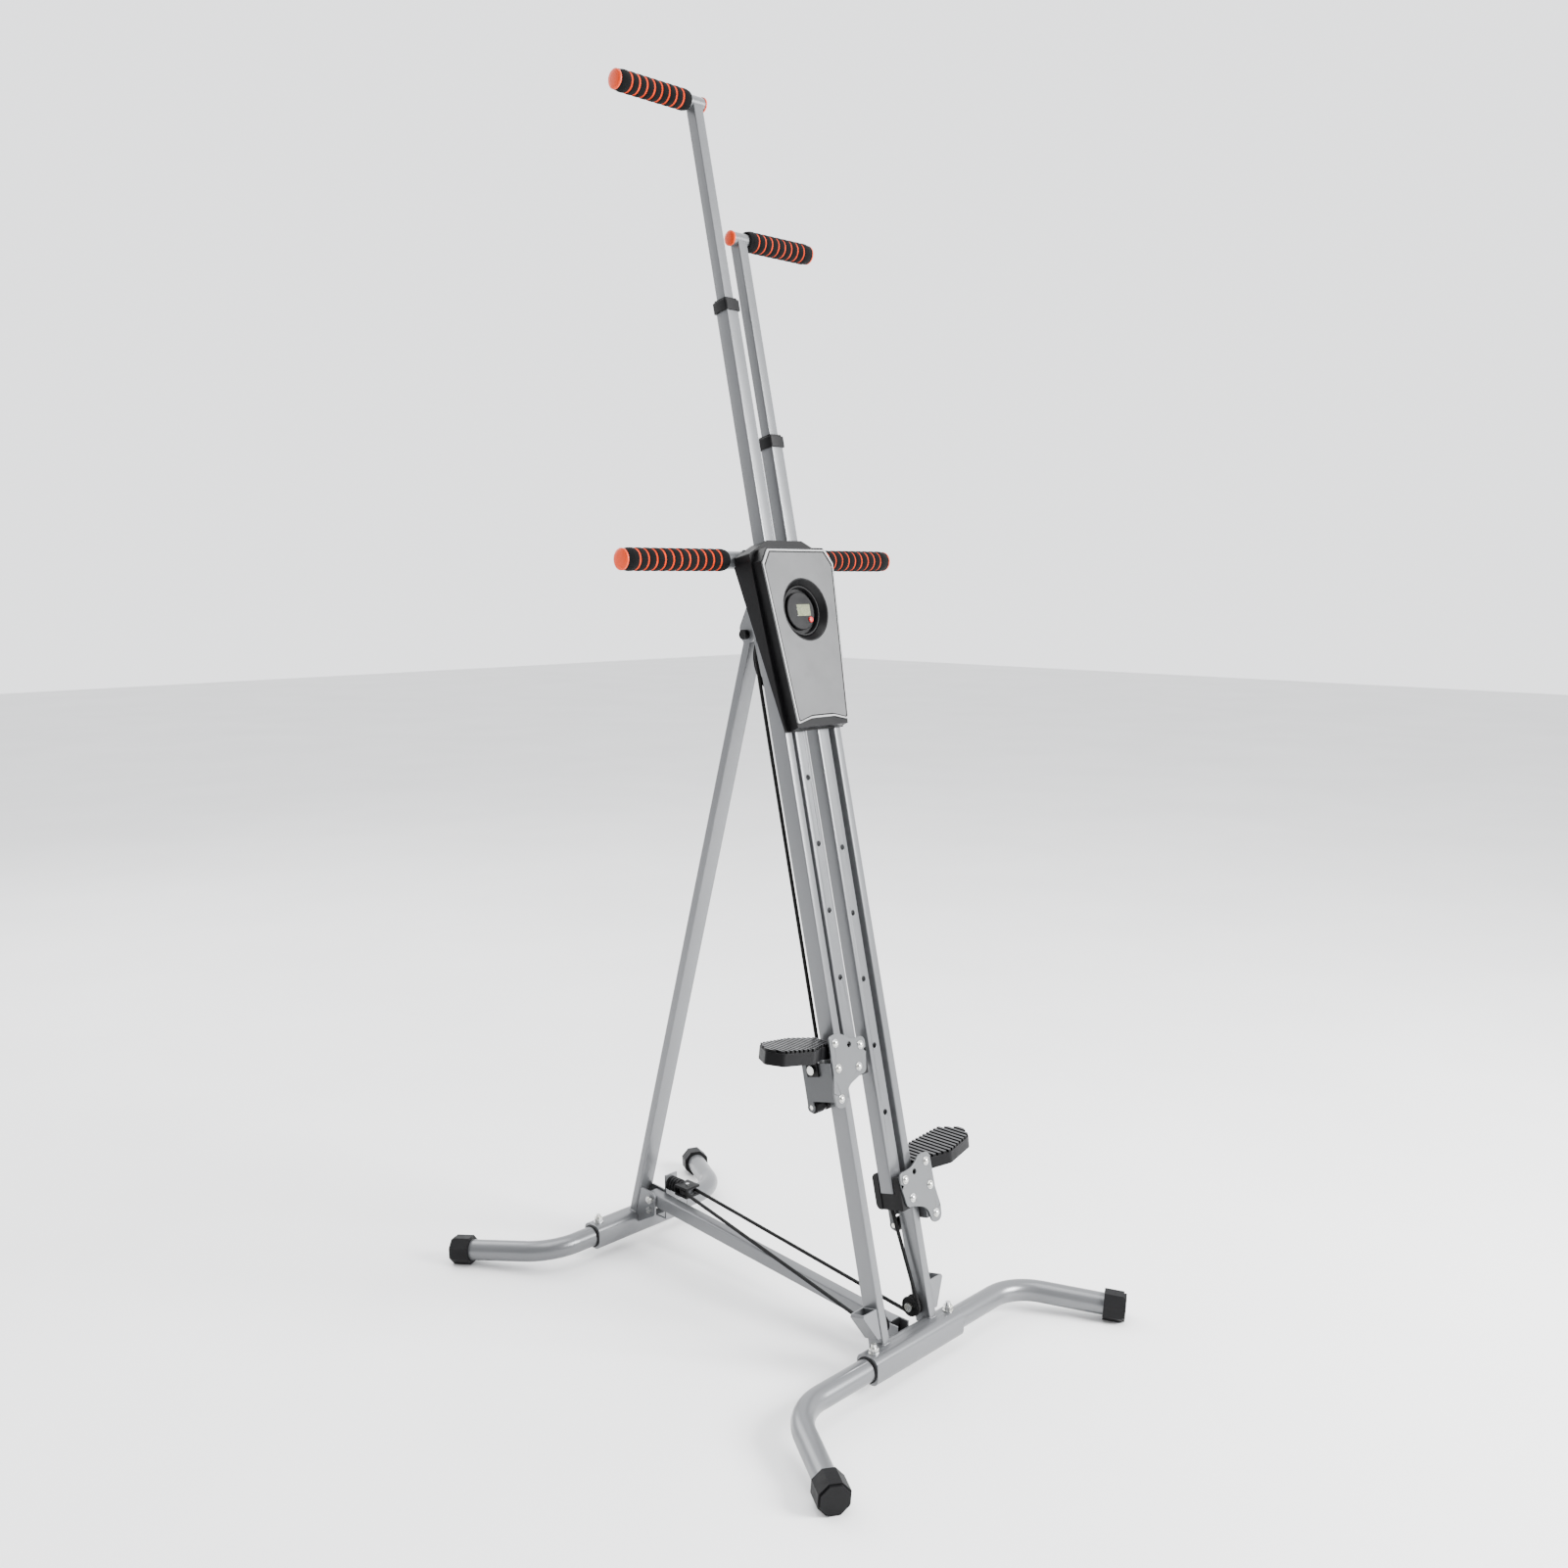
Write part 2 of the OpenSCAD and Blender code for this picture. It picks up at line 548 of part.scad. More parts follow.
// Frame of the tread's top, at the plate's outer upper corner
module at_pedal(side) on_carriage(side) translate([pedal_mid, plate_front, 8]) rotate([lean, 0, 0])
    rotate([0, -pedal_roll, 0]) translate([-pedal_mid, 0, pedal_rise]) children();
module pedal(side) color(black) difference() {
    union() {
        at_pedal(side) {
            translate([0, 0, -pedal_t]) difference() {
                linear_extrude(pedal_t - rib_h) pedal_outline(0);
                translate([0, 0, -1]) linear_extrude(pedal_t - rib_h - 3) pedal_outline(3);
            }
            intersection() {
                translate([0, 0, -rib_h - 1]) linear_extrude(rib_h + 1) pedal_outline(0.6);
                for (x = [70:8:200]) translate([x, -40, -rib_h - 2]) cube([4, 120, rib_h + 2]);
            }
        }
        on_carriage(side) translate([body_x1 + 0.4, lug_at[0] - 11, lug_at[1] - 10]) cube([3.2, 22, 44]);
    }
    on_carriage(side) translate([plate_bolts[0][0], plate_back, plate_bolts[0][1]]) pin_y(6.4, 10);
    on_carriage(side) translate([body_x1 - 2, lug_at[0], lug_at[1]]) pin_x(8.2, 20);
}
module pedal_left() pedal(left);
module pedal_right() pedal(right);

// ---------- telescopic handles ----------

handle_r = 11;
handle_in = 9;
handle_out = 181;
inner_down = 500;
module at_handle(side) on_carriage(side) translate([0, pole_w / 2, handle_up]) children();
module handle_tube(side) color(steel) difference() {
    at_handle(side) translate([pole_x, 0, -inner_down]) square_tube(inner_w, inner_w, 1.5, 1.5, inner_down);
    at_handle(side) translate([-10, 0, 0]) pin_x(2 * handle_r, 80);
}
module handle_tube_left() handle_tube(left);
module handle_tube_right() handle_tube(right);
module handle_bar(side) color(steel) at_handle(side) difference() {
    translate([handle_in, 0, 0]) pin_x(2 * handle_r, handle_out - handle_in);
    translate([handle_in - 1, 0, 0]) pin_x(2 * handle_r - 3, handle_out - handle_in + 2);
}
module handle_bar_left() handle_bar(left);
module handle_bar_right() handle_bar(right);
module handle_grip(side) color(black) at_handle(side) ring_grip(40, handle_out, 2 * handle_r, 33);
module handle_grip_left() handle_grip(left);
module handle_grip_right() handle_grip(right);
module handle_plugs(side) color(orange) at_handle(side) {
    translate([handle_in, 0, 0]) mirror([1, 0, 0]) end_plug(24, 2 * handle_r - 3);
    translate([handle_out, 0, 0]) end_plug(30, 2 * handle_r - 3);
}
module handle_plugs_left() handle_plugs(left);
module handle_plugs_right() handle_plugs(right);

// ---------- rear leg and bottom bar ----------

module rear_leg() color(steel) difference() {
    union() {
        on_leg() translate([0, 0, -leg_len]) square_tube(leg_w, leg_d, 2, 1.5, leg_len - 12);
        on_leg() translate([-leg_w / 2, 0, 0]) rotate([0, 90, 0]) pin_block();
    }
    on_leg() translate([-leg_w / 2 - 1, 0, 0]) pin_x(hinge_pin_d + 0.1, leg_w + 2);
    translate([-sleeve_half, rear_y, sleeve_z]) rotate([90, 0, 90])
        rod(sleeve_w, sleeve_w, 11, 2 * sleeve_half);
}
// Closed eye at the upper end of the leg
module pin_block() {
    cylinder(d = 22, h = leg_w, $fn = 48);
    translate([0, -leg_d / 2 + 0.5, 0]) cube([16, leg_d - 1, leg_w]);
}

module at_rear_pulley() translate(rear_pulley_at) children();

// Two cheeks on the rear sleeve that carry the bottom bar's pivot
bar_pivot = [rear_y - 52, 88];
bar_slope = 3.9;
cheek_x = bar_w / 2 + 0.6;
bar_pin_d = 8;
module rear_bracket() color(steel) difference() {
    union() {
        for (side = [left, right]) on_side(side) translate([cheek_x, 0, 0])
            rotate([90, 0, 90]) linear_extrude(3)
            polygon(rounded([[rear_y - 20, sleeve_z + 4, 0], [rear_y - 14.5, sleeve_z + 19, 0],
                [rear_y - 28, bar_pivot[1] + 15, 3], [bar_pivot[0] - 13, bar_pivot[1] + 13, 10],
                [bar_pivot[0] - 11, bar_pivot[1] - 26, 6]]));
        // upright of the rope block beside the bar, on a foot that reaches back to the sleeve
        translate([cheek_x + 3, upright_y, sleeve_z + 12]) cube([26, 3, rear_pulley_at[2] - sleeve_z + 2]);
        translate([cheek_x + 3, upright_y, sleeve_z + 12]) cube([26, rear_y - 20 - upright_y, 3]);
        translate([cheek_x, upright_y, bar_pivot[1] - 22]) cube([3.5, 20, 30]);
    }
    translate([-sleeve_half, rear_y, sleeve_z]) rotate([90, 0, 90])
        rod(sleeve_w, sleeve_w, 11, 2 * sleeve_half);
    translate([-30, bar_pivot[0], bar_pivot[1]]) pin_x(bar_pin_d, 60);
    translate([-30, bar_pivot[0] + 2, stop_bolt_z]) pin_x(6, 60);
    translate([rear_pulley_at[0], upright_y - 5, rear_pulley_at[2] - 6]) pin_y(6.2, 20);
}
upright_y = rear_y - 62;
stop_bolt_z = bar_pivot[1] - 18.5;

// Fastenings that fold with the rear base
module rear_bolts() color(zinc) {
    sleeve_bolts(rear_y);
    translate([-cheek_x - 3.2, bar_pivot[0], bar_pivot[1]]) {
        pin_x(bar_pin_d - 0.1, 2 * cheek_x + 14);
        translate([-4.5, 0, 0]) pin_x(13, 4.5);
    }
    translate([-cheek_x - 3.2, bar_pivot[0] + 2, stop_bolt_z]) {
        pin_x(5.9, 2 * cheek_x + 7);
        translate([-4, 0, 0]) pin_x(10, 4);
    }
    translate([rear_pulley_at[0], upright_y - 8, rear_pulley_at[2] - 6]) {
        pin_y(6, 12);
        translate([0, 11, 0]) rotate([-90, 0, 0]) cylinder(d = 12, h = 5, $fn = 6);
    }
    at_rear_pulley() translate([0, -4, -12.1]) cylinder(d = 5.9, h = 21, $fn = 32);
}

module on_bar() translate([0, bar_pivot[0], bar_pivot[1]]) rotate([bar_slope, 0, 0]) children();
bar_len = 538;
bar_tail = 8;
module bottom_bar() color(steel) on_bar() difference() {
    translate([0, bar_tail, 0]) rotate([90, 0, 0]) square_tube(bar_w, bar_h, 2, 1.5, bar_len + bar_tail);
    translate([-20, 0, 0]) pin_x(bar_pin_d + 0.1, 40);
    translate([-6, -46, 10]) cube([12, 14, 10]);
}
plug_t = 2.5;
module bar_plugs() color(black) on_bar() for (y = [bar_tail, -bar_len]) translate([0, y, 0])
    mirror([0, y < 0 ? 1 : 0, 0]) {
        translate([0, plug_t, 0]) rotate([90, 0, 0]) rod(bar_w, bar_h, 2.5, plug_t);
        rotate([90, 0, 0]) rod(bar_w - 3.1, bar_h - 3.1, 1, bar_tail - bar_pin_d / 2 - 1);
    }

module hinge_knob() color(black) translate([0, hinge_y, hinge_z]) {
    translate([-lug_x - lug_t, 0, 0]) pin_x(hinge_pin_d - 0.1, 2 * (lug_x + lug_t));
    translate([-lug_x - lug_t - 9, 0, 0]) pin_x(15, 9);
    translate([lug_x + lug_t, 0, 0]) pin_x(15, 6);
}

// ---------- rope drive ----------

groove_depth = rope_d / 2 + 1;
module pulley_wheel(r, w, bore) rotate([0, 90, 0]) translate([0, 0, -w / 2]) rotate_extrude($fn = 72)
    polygon([[bore / 2 + 0.05, 0], [r + 2, 0], [r + 2, 0.8], [r - groove_depth, w / 2 - 2.9],
        [r - groove_depth, w / 2 + 2.9], [r + 2, w - 0.8], [r + 2, w], [bore / 2 + 0.05, w]]);

module low_pulley_at(side) on_mast() on_side(side) translate(low_pulley) children();
module pulley_left() color(black) low_pulley_at(left) pulley_wheel(low_pulley_r, 12, 8);
module pulley_right() color(black) low_pulley_at(right) pulley_wheel(low_pulley_r, 12, 8);
module pulley_top() color(black) on_mast() translate(top_pulley) rotate([0, 0, 90])
    pulley_wheel(top_pulley_r, 10, 10);
module pulley_brackets() color(zinc) {
    for (side = [left, right]) low_pulley_at(side) {
        translate([-6.4, 0, 0]) pin_x(7.9, mast_x - mast_w / 2 - low_pulley[0] + 6.4);
        translate([-10.4, 0, 0]) pin_x(13, 4);
    }
    on_mast() translate(top_pulley) {
        translate([0, -13, 0]) pin_y(9.9, 18.4);
        translate([0, 5.4, 0]) pin_y(18, 5);
    }
}

// Fastenings of the base: a bolt near each end of both sleeves
module sleeve_bolts(y) for (side = [left, right]) translate([side * (sleeve_half - 14), y, sleeve_z]) {
    translate([0, 0, 10]) cylinder(d = 8, h = sleeve_w / 2 - 10, $fn = 32);
    translate([0, 0, sleeve_w / 2]) cylinder(d = 16, h = 1.5, $fn = 40);
    translate([0, 0, sleeve_w / 2 + 1.5]) cylinder(d = 14.5, h = 7, $fn = 6);
    translate([0, 0, sleeve_w / 2 + 8.5]) cylinder(d = 8, h = 5, $fn = 32);
}
module frame_bolts() color(zinc) sleeve_bolts(front_y);

// Ribbed block that turns the rope back at the rear
module rear_pulley_block() color(black) at_rear_pulley() difference() {
    union() {
        for (i = [0:3]) translate([0, 37.5 - 6.5 * i, -2]) rotate([90, 0, 0])
            cylinder(d = 25, h = 4, $fn = 40);
        translate([0, 37.5, -2]) rotate([90, 0, 0]) cylinder(d = 21, h = 29, $fn = 40);
        translate([-15, -18, -11]) cube([30, 30, 4]);
        translate([-15, -18, 3]) cube([30, 30, 4]);
    }
    translate([0, -4, -12]) cylinder(d = 6, h = 22, $fn = 32);
    translate([-17, -20, -7]) cube([34, 30.5, 10]);
    translate([0, 28, -6]) pin_y(6.2, 12);
}
module rear_pulley() color(dark_steel) at_rear_pulley() translate([0, -4, -2]) rotate([0, 90, 0])
    pulley_wheel(rear_pulley_r, 9, 6);

// Rope above: up from the left carriage, over the top pulley, down to the right carriage
rope_x = top_pulley_r;
rope_end = -51.5;
function on_mast_pt(p) =
    [p[0], mast_y0 + p[1] * cos(lean) + p[2] * sin(lean), p[2] * cos(lean) - p[1] * sin(lean)];
upper_route = concat(
    [[-rope_x, top_pulley[1], mid_s + phase + rope_end], [-rope_x, top_pulley[1], 800]],
    [for (a = [180:-12:0]) [rope_x * cos(a), top_pulley[1], top_pulley[2] + rope_x * sin(a)]],
    [[rope_x, top_pulley[1], 700], [rope_x, top_pulley[1], mid_s - phase + rope_end]]);
module rope_upper() color(black) sweep_tube([for (p = upper_route) on_mast_pt(p)], rope_d);

// Rope below: down from one carriage, round its lower pulley, back to the rear pulley,
// and the same way forward to the other carriage
function low_run(side) = [for (p = concat(
    [[side * rope_low_x, rope_low_y, mid_s - side * phase + guide_low]],
    [for (a = [180:18:288]) [side * low_pulley[0],
        low_pulley[1] + low_pulley_r * cos(a), low_pulley[2] + low_pulley_r * sin(a)]])) on_mast_pt(p)];
rear_turn = [for (a = [180:-20:0]) [rear_pulley_at[0] + rear_pulley_r * cos(a),
    rear_pulley_at[1] - 4 + rear_pulley_r * sin(a), rear_pulley_at[2] - 2]];
module rope_lower() color(black)
    sweep_tube(concat(low_run(left), rear_turn, [for (i = [6:-1:0]) low_run(right)[i]]), rope_d);

front_sleeve();
front_foot_left();
front_foot_right();
front_caps();
mast_tube_left();
mast_tube_right();
mast_crosshead();
band_hooks();
console_shell();
console_panel();
display_cup();
display_lens();
reset_button();
handlebar();
handlebar_grip_left();
handlebar_grip_right();
handlebar_plugs();
pulley_brackets();
pulley_left();
pulley_right();
pulley_top();
frame_bolts();
pole_left();
pole_right();
collar_left();
collar_right();
carriage_plate_left();
carriage_plate_right();
carriage_body_left();
carriage_body_right();
guide_block_left();
guide_block_right();
carriage_bolts_left();
carriage_bolts_right();
roller_left();
roller_right();
pedal_left();
pedal_right();
handle_tube_left();
handle_tube_right();
handle_bar_left();
handle_bar_right();
handle_grip_left();
handle_grip_right();
handle_plugs_left();
handle_plugs_right();
rear_leg();
rear_sleeve();
rear_foot_left();
rear_foot_right();
rear_caps();
rear_bracket();
rear_pulley_block();
rear_pulley();
hinge_knob();
rear_bolts();
bottom_bar();
bar_plugs();
rope_upper();
rope_lower();
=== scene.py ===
import math

import bpy
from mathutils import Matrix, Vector, noise
from mathutils.bvhtree import BVHTree


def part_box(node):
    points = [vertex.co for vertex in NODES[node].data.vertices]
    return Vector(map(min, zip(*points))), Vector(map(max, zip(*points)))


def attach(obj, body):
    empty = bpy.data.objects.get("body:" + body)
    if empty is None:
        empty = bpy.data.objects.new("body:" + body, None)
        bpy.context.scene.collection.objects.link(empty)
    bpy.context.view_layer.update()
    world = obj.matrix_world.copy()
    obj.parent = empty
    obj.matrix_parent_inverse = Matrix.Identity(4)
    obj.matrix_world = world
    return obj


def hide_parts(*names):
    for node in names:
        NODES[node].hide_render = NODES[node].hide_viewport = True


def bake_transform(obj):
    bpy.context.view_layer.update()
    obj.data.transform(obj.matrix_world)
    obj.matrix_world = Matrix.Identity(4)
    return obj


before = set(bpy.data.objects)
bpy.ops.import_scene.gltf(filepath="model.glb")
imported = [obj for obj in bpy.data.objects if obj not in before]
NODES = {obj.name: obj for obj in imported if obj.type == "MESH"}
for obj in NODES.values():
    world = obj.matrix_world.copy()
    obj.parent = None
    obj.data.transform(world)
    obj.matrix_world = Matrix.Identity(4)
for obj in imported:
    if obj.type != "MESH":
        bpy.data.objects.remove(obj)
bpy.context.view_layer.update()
SIDES = {"left": -1, "right": 1}
MM = 0.001
# Directions of the mast, which leans back: up along it, square to it backwards, and across
LEAN = math.radians(12.7)
UP = Vector((0, math.sin(LEAN), math.cos(LEAN)))
BACK = Vector((0, math.cos(LEAN), -math.sin(LEAN)))
RIGHT = Vector((1, 0, 0))


# ---------- camera ----------

def make_camera():
    data = bpy.data.cameras.new("camera")
    data.sensor_width = 36
    data.lens = 34.1
    data.shift_x = -0.0013
    data.shift_y = -0.0509
    data.clip_end = 60
    camera = bpy.data.objects.new("camera", data)
    camera.location = (-1.6374, -1.6306, 1.1619)
    camera.rotation_euler = (math.radians(90 - 4.97), 0, math.radians(-46.08))
    bpy.context.scene.collection.objects.link(camera)
    bpy.context.scene.camera = camera


make_camera()


# ---------- mesh helpers ----------

def mesh_object(name, verts, faces, materials, slots=None, uvs=None, smooth=True):
    mesh = bpy.data.meshes.new(name)
    mesh.from_pydata([tuple(v) for v in verts], [], faces)
    if slots:
        mesh.polygons.foreach_set("material_index", slots)
    mesh.polygons.foreach_set("use_smooth", [smooth] * len(mesh.polygons))
    if uvs:
        layer = mesh.uv_layers.new(name="UVMap")
        for loop in mesh.loops:
            layer.data[loop.index].uv = uvs[loop.vertex_index]
    mesh.validate()
    mesh.update()
    obj = bpy.data.objects.new(name, mesh)
    bpy.context.scene.collection.objects.link(obj)
    for material in materials:
        mesh.materials.append(material)
    return obj


def ring_points(middle, side, third, radius, count):
    """Points of a circle round middle, in the plane of side and third."""
    angles = [2 * math.pi * k / count for k in range(count)]
    return [middle + (side * math.cos(a) + third * math.sin(a)) * radius for a in angles]


def ring_faces(first, second, count):
    """Quads between two rings of count points, which start at the given indices."""
    return [(first + k, first + (k + 1) % count, second + (k + 1) % count, second + k)
            for k in range(count)]


def lathe(name, profile, origin, axis, materials, slots=None, segments=64):
    """Turns [along, radius] points round axis through origin; slots has an entry for each step."""
    axis = Vector(axis).normalized()
    side = axis.orthogonal().normalized()
    third = axis.cross(side)
    verts, faces, face_slots = [], [], []
    for along, radius in profile:
        verts += ring_points(Vector(origin) + axis * along, side, third, radius, segments)
    for i in range(len(profile) - 1):
        faces += ring_faces(i * segments, (i + 1) * segments, segments)
        face_slots += [slots[i] if slots else 0] * segments
    return mesh_object(name, verts, faces, materials, face_slots)


def smooth_route(points, step):
    """Catmull-Rom curve through the points, with a point about every step."""
    pts = [Vector(p) for p in points]
    pts = [pts[0] * 2 - pts[1]] + pts + [pts[-1] * 2 - pts[-2]]
    out = []
    for i in range(1, len(pts) - 2):
        p0, p1, p2, p3 = pts[i - 1:i + 3]
        d1 = max((p1 - p0).length ** 0.5, 1e-6)
        d2 = max((p2 - p1).length ** 0.5, 1e-6)
        d3 = max((p3 - p2).length ** 0.5, 1e-6)
        t0, t1, t2, t3 = 0, d1, d1 + d2, d1 + d2 + d3
        count = max(1, round((p2 - p1).length / step))
        for j in range(count):
            t = t1 + (t2 - t1) * j / count
            a1 = p0 * ((t1 - t) / (t1 - t0)) + p1 * ((t - t0) / (t1 - t0))
            a2 = p1 * ((t2 - t) / (t2 - t1)) + p2 * ((t - t1) / (t2 - t1))
            a3 = p2 * ((t3 - t) / (t3 - t2)) + p3 * ((t - t2) / (t3 - t2))
            b1 = a1 * ((t2 - t) / (t2 - t0)) + a2 * ((t - t0) / (t2 - t0))
            b2 = a2 * ((t3 - t) / (t3 - t1)) + a3 * ((t - t1) / (t3 - t1))
            out.append(b1 * ((t2 - t) / (t2 - t1)) + b2 * ((t - t1) / (t2 - t1)))
    out.append(pts[-2])
    return out


def sweep(name, route, radius, materials, sides=12, closed=False, ripple=None):
    """Round tube along a route; UV runs round it and along it in metres."""
    pts = [Vector(p) for p in route]
    n = len(pts)
    verts, uvs, faces = [], [], []
    normal = None
    run = 0.0
    for i, p in enumerate(pts):
        ahead = pts[(i + 1) % n] if closed or i < n - 1 else p
        behind = pts[i - 1] if closed or i > 0 else p
        tangent = (ahead - behind).normalized()
        normal = tangent.orthogonal() if normal is None else normal - tangent * normal.dot(tangent)
        normal.normalize()
        run += (p - pts[i - 1]).length if i else 0
        thickness = radius * (ripple(run) if ripple else 1)
        verts += ring_points(p, normal, tangent.cross(normal), thickness, sides)
        uvs += [(k / sides, run) for k in range(sides)]
    for i in range(n if closed else n - 1):
        faces += ring_faces(i * sides, (i + 1) % n * sides, sides)
    if not closed:
        faces.append(tuple(range(sides - 1, -1, -1)))
        faces.append(tuple(range((n - 1) * sides, n * sides)))
    return mesh_object(name, verts, faces, materials, uvs=uvs)


# ---------- materials ----------

class Shader:
    """A node material in the making: call it to add a node, with its inputs by name."""

    def __init__(self, name):
        self.material = bpy.data.materials.new(name)
        self.material.use_nodes = True
        self.tree = self.material.node_tree
        self.bsdf = self.tree.nodes["Principled BSDF"]
        coordinates = self("TexCoord")
        self.object = coordinates.outputs["Object"]
        self.uv = coordinates.outputs["UV"]

    def __call__(self, kind, settings=None, **inputs):
        node = self.tree.nodes.new("ShaderNode" + kind)
        for key, value in (settings or {}).items():
            setattr(node, key, value)
        for key, value in inputs.items():
            self.feed(node, key.replace("_", " "), value)
        return node

    def feed(self, node, key, value):
        socket = node.inputs[int(key)] if key.isdigit() else node.inputs[key]
        if isinstance(value, bpy.types.NodeSocket):
            self.tree.links.new(value, socket)
        else:
            socket.default_value = value

    def noise(self, scale, detail=3, rough=0.55):
        node = self("TexNoise", Scale=scale, Detail=detail, Roughness=rough, Vector=self.object)
        return node.outputs["Fac"]

    def math(self, operation, a, b=0.0):
        node = self("Math", {"operation": operation})
        self.feed(node, "0", a)
        self.feed(node, "1", b)
        return node.outputs[0]

    def span(self, value, low, high, to_low, to_high):
        node = self("MapRange", Value=value, From_Min=low, From_Max=high, To_Min=to_low, To_Max=to_high)
        return node.outputs[0]

    def mix(self, factor, a, b):
        """Blend of two colours: a Mix node has its factor in socket 0 and its colours in 6 and 7."""
        node = self("Mix", {"data_type": "RGBA"})
        for key, value in ((0, factor), (6, a), (7, b)):
            self.feed(node, str(key), value)
        return node.outputs[2]

    def edges(self, radius):
        """Near 1 along convex and concave edges and 0 on open faces."""
        bevel = self("Bevel", {"samples": 4}, Radius=radius)
        flat = self("NewGeometry")
        dot = self("VectorMath", {"operation": "DOT_PRODUCT"})
        self.feed(dot, "0", bevel.outputs[0])
        self.feed(dot, "1", flat.outputs["Normal"])
        return self.span(dot.outputs["Value"], 0.995, 0.75, 0, 1)

    def bump(self, height, strength, distance):
        return self("Bump", Strength=strength, Distance=distance, Height=height).outputs[0]

    def finish(self, color, roughness, normal=None, **constants):
        self.feed(self.bsdf, "Base Color", color)
        self.feed(self.bsdf, "Roughness", roughness)
        if normal:
            self.feed(self.bsdf, "Normal", normal)
        for key, value in constants.items():
            self.bsdf.inputs[key.replace("_", " ")].default_value = value
        return self.material


def rgb(r, g, b):
    return (r, g, b, 1)


def shade(color, factor, lift=0):
    """The colour made darker or lighter, and no brighter than white."""
    return rgb(*(min(1, c * factor + lift) for c in color))


def painted(name, color, metallic, rough):
    """Powder coat with metal flakes, faint orange peel, handling marks and worn edges."""
    s = Shader(name)
    cloud = s.noise(5, 4)
    flake = s("TexVoronoi", Scale=1700, Vector=s.object).outputs["Color"]
    flake_value = s("SeparateColor", Color=flake).outputs[0]
    base = s.mix(s.span(cloud, 0.3, 0.7, 0, 1), shade(color, 0.95), shade(color, 1.04))
    base = s.mix(s.span(flake_value, 0.86, 1.0, 0, 0.3), base, shade(color, 1.3))
    worn = s.math("MULTIPLY", s.edges(0.0007), s.span(s.noise(60, 5), 0.4, 0.7, 0.2, 0.5))
    base = s.mix(s.math("MULTIPLY", worn, 0.5), base, shade(color, 1.25))
    marks = s.noise(38, 6, 0.7)
    roughness = s.math("ADD", s.span(marks, 0.3, 0.7, rough - 0.015, rough + 0.02),
                       s.math("MULTIPLY", worn, -0.05))
    peel = s.noise(620, 2)
    return s.finish(base, roughness, s.bump(peel, 0.05, 0.0001),
                    Metallic=metallic, Coat_Weight=0.12, Coat_Roughness=0.25)


def moulded(name, color, rough, grain=900, relief=0.22, shine=0.14, wear_and_highlight=0.012):
    """Moulded plastic with a fine spark-eroded grain, soft mottling and paler edges, which are partly
    rubbed wear and partly a painted highlight.
    """
    s = Shader(name)
    cloud = s.noise(9, 4)
    base = s.mix(s.span(cloud, 0.3, 0.7, 0, 1), shade(color, 0.8), shade(color, 1.2, 0.001))
    # Paler edges: partly rubbed wear, partly a painted highlight along the edges
    worn = s.math("MULTIPLY", s.edges(0.0012), s.span(s.noise(70, 5), 0.42, 0.62, 0.1, 1))
    base = s.mix(s.math("MULTIPLY", worn, 0.5), base, shade(color, 1.5, wear_and_highlight))
    roughness = s.span(s.noise(45, 5, 0.65), 0.3, 0.7, rough - 0.06, rough + 0.1)
    cells = s("TexVoronoi", {"feature": "SMOOTH_F1"}, Scale=grain, Vector=s.object).outputs["Distance"]
    return s.finish(base, roughness, s.bump(cells, relief, 0.00025), Specular_IOR_Level=shine)


def foam(name, color):
    """Closed cell foam: tiny pores with painted shade in them, soft mottling, a dusty sheen."""
    s = Shader(name)
    cloud = s.noise(60, 5, 0.6)
    base = s.mix(s.span(cloud, 0.3, 0.7, 0, 1), shade(color, 0.7), shade(color, 1.3, 0.002))
    pores = s("TexVoronoi", Scale=1500, Vector=s.object).outputs["Distance"]
    pits = s.span(pores, 0.0, 0.45, 0, 1)
    # Darker pores: painted shade inside them
    base = s.mix(s.span(pits, 0, 0.4, 0.45, 0), base, shade(color, 0.4))
    height = s.math("ADD", pits, s.math("MULTIPLY", s.noise(300, 3), 0.8))
    roughness = s.span(cloud, 0.3, 0.7, 0.82, 0.96)
    return s.finish(base, roughness, s.bump(height, 0.5, 0.0004),
                    Specular_IOR_Level=0.06, Sheen_Weight=0.02, Sheen_Roughness=0.5)


def plated(name, color, rough):
    """Zinc plated steel with turning marks and faint passivation colours."""
    s = Shader(name)
    cloud = s.noise(90, 4)
    yellowed = rgb(color[0] * 0.92, color[1] * 0.9, color[2] * 0.8)
    tint = s.mix(s.span(cloud, 0.35, 0.65, 0, 1), rgb(*color), yellowed)
    worn = s.edges(0.0006)
    tint = s.mix(s.math("MULTIPLY", worn, 0.5), tint, rgb(0.9, 0.9, 0.92))
    roughness = s.span(s.noise(500, 4), 0.3, 0.7, rough - 0.08, rough + 0.12)
    return s.finish(tint, roughness, s.bump(s.noise(1200, 3), 0.12, 0.0001), Metallic=1.0)


STRANDS_ROUND = 6
STRANDS_PER_METRE = 260


